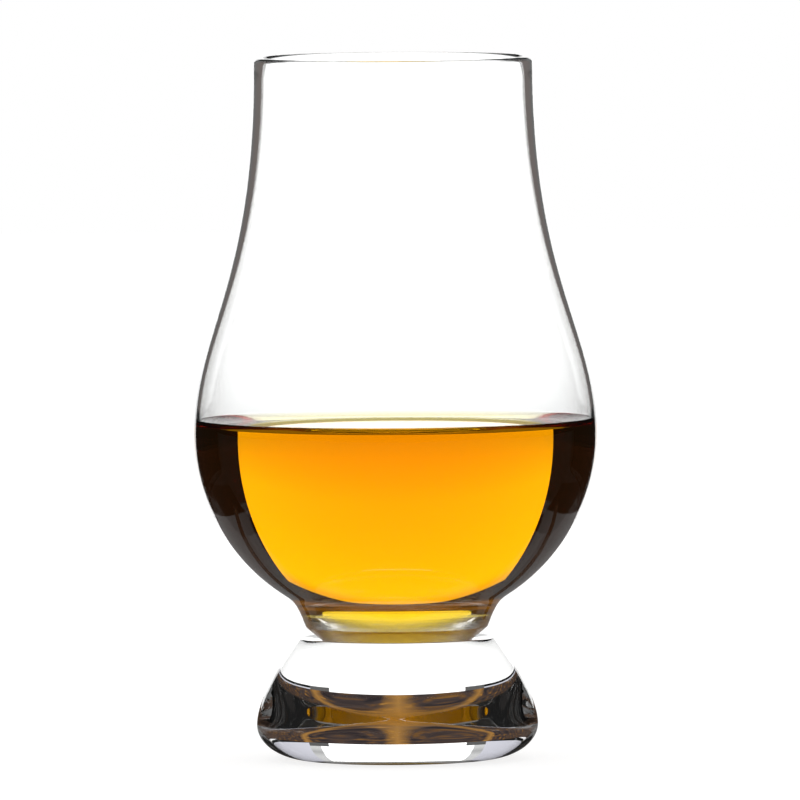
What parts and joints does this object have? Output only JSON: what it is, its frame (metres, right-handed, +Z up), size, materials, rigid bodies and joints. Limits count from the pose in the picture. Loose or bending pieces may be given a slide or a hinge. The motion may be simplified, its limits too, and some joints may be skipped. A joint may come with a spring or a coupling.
{
  "type": "whisky glass",
  "caption": "Tulip-shaped whisky nosing glass on a solid flared foot, with a pour of whisky in its round bowl, for serving, smelling and sipping.",
  "frame": {"origin": "centre of the resting plane under the foot", "axes": "+Z up along the axis of the glass, X and Y anywhere round it"},
  "size_m": [0.066, 0.066, 0.115],
  "materials": {
    "clear_glass": "clear blown glass with a fire-polished rim",
    "foot_glass": "clear pressed glass, solid and polished",
    "whisky": "clear amber drink"
  },
  "bodies": {
    "root": {"bowl": "clear_glass", "foot": "foot_glass", "whisky": "whisky"}
  },
  "joints": []
}
